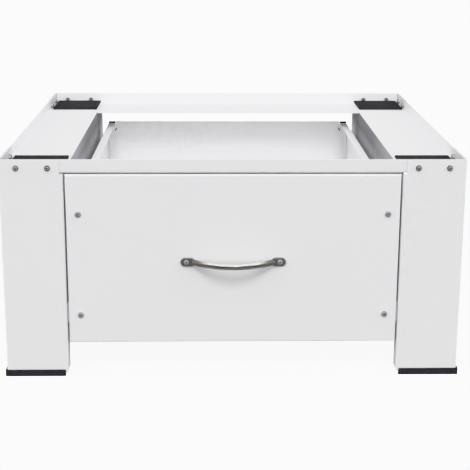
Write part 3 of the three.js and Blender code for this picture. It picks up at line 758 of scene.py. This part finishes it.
def mat_mesh(size, height, corner):
    """A rubber mat with rounded corners and low ribs across its top."""
    base = height - RIB_RISE
    levels = ((0.3 * MM, 0.0), (0.0, 0.3 * MM), (0.0, base - 0.35 * MM),
              (0.12 * MM, base - 0.1 * MM), (0.4 * MM, base))
    reach = size / 2 - 3.0 * MM
    count = int(2 * reach / RIB_PITCH)

    def build(bm):
        rings = []
        for inset, z in levels:
            outline = rounded_square(size / 2 - inset, corner - inset)
            rings.append([bm.verts.new((x, y, z)) for x, y in outline])
        bridge(bm, rings)
        close_ends(bm, rings[-1], rings[0])
        for k in range(count):
            add_rib(bm, (k + 0.5 - count / 2) * RIB_PITCH, base - RIB_SUNK, reach)

    mesh = mesh_from("corner_mat", build)
    mesh.materials.append(finishes["pad_rubber"])
    shade_by_angle(mesh)
    return mesh


low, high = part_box("front_left_pad")
mat = mat_mesh(high.x - low.x, high.z - low.z, 1.2 * MM)
for node in nodes_ending("_pad"):
    low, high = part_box(node)
    centre = (low + high) / 2
    add(node + "_mat", mat, "pad_rubber", body_of(node), node,
        place=Matrix.Translation((centre.x, centre.y, low.z)))

# ---------------------------------------------------------------------- handle

HANDLE_FACE = -257 * MM  # the drawer front's face
HANDLE_HEIGHT = 167 * MM
TAB_OUT, TAB_IN, TAB_HALF, TAB_THICK, TAB_EASE = 72 * MM, 52 * MM, 6 * MM, 2.5 * MM, 0.7 * MM
BOW, BAR_MIDDLE, BAR_END = 24.5 * MM, 4.0 * MM, 3.7 * MM
BAR_STEPS, BAR_SIDES, TAB_SIDES = 96, 32, 48
HANDLE_BACK = -SEAM - 0.05 * MM  # just off the drawer front's face, which is at local Y = 0


def bent_bar(bm):
    """A spindle bent round one arc, flattened where it meets the drawer front."""
    span, rise = TAB_IN + 2 * MM, BOW - TAB_THICK
    arc = (span ** 2 + rise ** 2) / (2 * rise)
    half_angle = math.asin(span / arc)
    rings = []
    for k in range(BAR_STEPS + 1):
        t = 2 * k / BAR_STEPS - 1
        angle = t * half_angle
        radius = BAR_MIDDLE + (BAR_END - BAR_MIDDLE) * t * t
        ring = []
        for turn in circle_steps(BAR_SIDES):
            out = arc + radius * math.cos(turn)
            y = min(arc - BOW - out * math.cos(angle), HANDLE_BACK)
            ring.append(bm.verts.new((out * math.sin(angle), y, radius * math.sin(turn))))
        rings.append(ring)
    bridge(bm, rings)
    close_ends(bm, rings[0], rings[-1])


def tab(bm, side):
    """A stadium-shaped tab with an eased front edge."""
    middle = side * (TAB_OUT + TAB_IN) / 2
    reach = (TAB_OUT - TAB_IN) / 2 - TAB_HALF
    face = -SEAM - TAB_THICK
    steps = [(0.12 * MM, HANDLE_BACK), (0.0, HANDLE_BACK - 0.15 * MM), (0.0, face + TAB_EASE)]
    for k in range(1, 6):
        a = QUARTER * k / 5
        steps.append((TAB_EASE * (1 - math.cos(a)), face + TAB_EASE * (1 - math.sin(a))))
    layers = []
    for inset, y in steps:
        radius = TAB_HALF - inset
        ring = []
        for a in circle_steps(TAB_SIDES):
            end = 0 if abs(math.cos(a)) < 1e-9 else math.copysign(reach, math.cos(a))
            x = middle + end + radius * math.cos(a)
            ring.append(bm.verts.new((x, y, radius * math.sin(a))))
        layers.append(ring)
    bridge(bm, layers)
    close_ends(bm, layers[0], layers[-1])


def handle(bm):
    bent_bar(bm)
    tab(bm, -1)
    tab(bm, 1)


handle_mesh = mesh_from("bow_handle_bar", handle)
shade_by_angle(handle_mesh, degrees=35)
steady_normals(add("bow_handle_bar", handle_mesh, "nickel", body_of("bow_handle"), "bow_handle",
                   place=Matrix.Translation((0, HANDLE_FACE, HANDLE_HEIGHT))))

# -------------------------------------------------- dark blocks on the drawer that stand in for shadow

# A dark block at the back end of each side flange and a slanted dark plug on the back wall by each
# corner, put where the corners show shadow.
SHADOW_BLOCK_SIZE, SHADOW_BLOCK_EASE = (12.0 * MM, 2.2 * MM, 2.7 * MM), 0.35 * MM
SHADOW_BLOCK_IN, SHADOW_BLOCK_FORWARD, SHADOW_BLOCK_UP = 6.8 * MM, 1.2 * MM, 1.35 * MM  # from the flange's corner
SHADOW_PLUG_SIZE, SHADOW_PLUG_EASE = (1.6 * MM, 0.9 * MM, 5.6 * MM), 0.3 * MM
SHADOW_PLUG_OFF, SHADOW_PLUG_FORWARD, SHADOW_PLUG_HEIGHT = 201.5 * MM, 1.45 * MM, 250 * MM
SHADOW_PLUG_LEAN = 35  # degrees


def soft_block(size, ease):
    """A small moulded block with eased edges, its middle at the origin."""

    def build(bm):
        bmesh.ops.create_cube(bm, size=1.0, matrix=Matrix.Diagonal((*size, 1.0)))
        bmesh.ops.bevel(bm, geom=bm.edges[:], offset=ease, segments=3, profile=0.5,
                        affect="EDGES")

    mesh = mesh_from("moulded_block", build)
    shade_by_angle(mesh, degrees=50)
    return mesh


box_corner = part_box("right_drawer_side")[1]
back_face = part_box("drawer_back")[1].y
for side, name in ((-1, "left"), (1, "right")):
    # a dark block standing in for the shadow at the side flange's back end
    place = (side * (box_corner.x - SHADOW_BLOCK_IN), box_corner.y - SHADOW_BLOCK_FORWARD,
             box_corner.z + SHADOW_BLOCK_UP)
    add(f"{name}_flange_shadow_block", soft_block(SHADOW_BLOCK_SIZE, SHADOW_BLOCK_EASE), "pad_rubber", "drawer",
        place=Matrix.Translation(place))
    # a slanted dark plug standing in for the shadow line by the back wall's corner
    place = (side * SHADOW_PLUG_OFF, back_face - SHADOW_PLUG_FORWARD, SHADOW_PLUG_HEIGHT)
    lean = Matrix.Rotation(math.radians(-side * SHADOW_PLUG_LEAN), 4, "Y")
    add(f"{name}_corner_shadow_plug", soft_block(SHADOW_PLUG_SIZE, SHADOW_PLUG_EASE), "cap_plastic", "drawer",
        place=Matrix.Translation(place) @ lean)

# ---------------------------------------------------------------- room, lights

STUDIO_RADIUS, STUDIO_HEIGHT, STUDIO_COVE, STUDIO_SIDES = 9.0, 7.0, 2.0, 96
FLOOR_DROP = 0.2 * MM  # keeps the floor clear of the caps' undersides


def sweep(bm):
    """A round floor that turns up into a wall all the way round."""
    profile = [(0.0, 0.0)]
    for k in range(13):
        a = QUARTER * k / 12
        inwards = STUDIO_COVE * (1 - math.sin(a))
        profile.append((STUDIO_RADIUS - inwards, STUDIO_COVE * (1 - math.cos(a))))
    lathe(bm, profile + [(STUDIO_RADIUS, STUDIO_HEIGHT)], STUDIO_SIDES)


floor = bpy.data.objects.new("studio_floor", mesh_from("studio_floor", sweep))
floor.location = (0, 0, -FLOOR_DROP)
bpy.context.scene.collection.objects.link(floor)
light_table = Finish("light_table", specular=0.0)
light_table.colour((0.75, 0.75, 0.75, 1.0))
light_table.roughness(0.9)
light_table.shader.inputs["Emission Color"].default_value = (1.0, 1.0, 1.0, 1.0)
light_table.shader.inputs["Emission Strength"].default_value = 1.3
floor.data.materials.append(light_table.material)
for polygon in floor.data.polygons:
    polygon.use_smooth = True
floor.visible_diffuse = False
floor.visible_glossy = False
floor.visible_shadow = False

world = bpy.data.worlds.new("studio")
bpy.context.scene.world = world
world.use_nodes = True
background = world.node_tree.nodes["Background"]
background.inputs["Color"].default_value = (1.0, 1.0, 1.0, 1.0)
background.inputs["Strength"].default_value = 0.19


def daylight(name, azimuth, elevation, breadth, share):
    """A distant light. Azimuth 0 is in front of the pedestal and 90 is at +X, all three
    angles are in degrees, and share is how bright it makes a white face turned to it."""
    light = bpy.data.lights.new(name, "SUN")
    light.angle = math.radians(breadth)
    light.energy = share * math.pi
    holder = bpy.data.objects.new(name, light)
    a, e = math.radians(azimuth), math.radians(elevation)
    source = Vector((math.sin(a) * math.cos(e), -math.cos(a) * math.cos(e), math.sin(e)))
    holder.rotation_mode = "QUATERNION"
    holder.rotation_quaternion = source.to_track_quat("Z", "Y")
    bpy.context.scene.collection.objects.link(holder)


daylight("right_bank", 62, 30, 60, 0.32)
daylight("left_bank", -62, 30, 60, 0.34)
daylight("key", 2, 48, 18, 0.36)
daylight("low_front", 2, 14, 30, 0.19)
daylight("overhead", 0, 85, 140, 0.39)
daylight("rear_left", -142, 6, 40, 0.29)
daylight("rear_right", 142, 6, 40, 0.29)
daylight("left_bounce", -90, -3, 6, 0.20)
daylight("right_bounce", 90, -3, 6, 0.20)

# ---------------------------------------------------------------------- camera

PICTURE = 470  # pixels across and down
FOCAL_LENGTH = 1062.066  # in pixels
AXIS_ROW = 165  # the row that the lens points at, from the top
SENSOR = 36.0
CAMERA_PLACE = (-0.030008, -1.638763, 0.632241)
YAW, PITCH_DOWN, ROLL = 0.023, 0.234, 0.005  # in radians

forward = Vector((math.sin(YAW) * math.cos(PITCH_DOWN), math.cos(YAW) * math.cos(PITCH_DOWN),
                  -math.sin(PITCH_DOWN)))
level = Vector((math.cos(YAW), -math.sin(YAW), 0))
upright = level.cross(forward)
right = math.cos(ROLL) * level + math.sin(ROLL) * upright
up = -math.sin(ROLL) * level + math.cos(ROLL) * upright
camera_data = bpy.data.cameras.new("camera")
camera_data.sensor_width = SENSOR
camera_data.lens = FOCAL_LENGTH / PICTURE * SENSOR
camera_data.shift_y = (AXIS_ROW - PICTURE / 2) / PICTURE
camera_data.clip_start, camera_data.clip_end = 0.05, 40.0
camera = bpy.data.objects.new("camera", camera_data)
axes = Matrix((right, up, -forward)).transposed().to_4x4()
camera.matrix_world = Matrix.Translation(CAMERA_PLACE) @ axes
bpy.context.scene.collection.objects.link(camera)
bpy.context.scene.camera = camera

view = bpy.context.scene.view_settings
view.view_transform = "Khronos PBR Neutral"
view.look = "None"
view.exposure = 0.0
view.gamma = 1.0
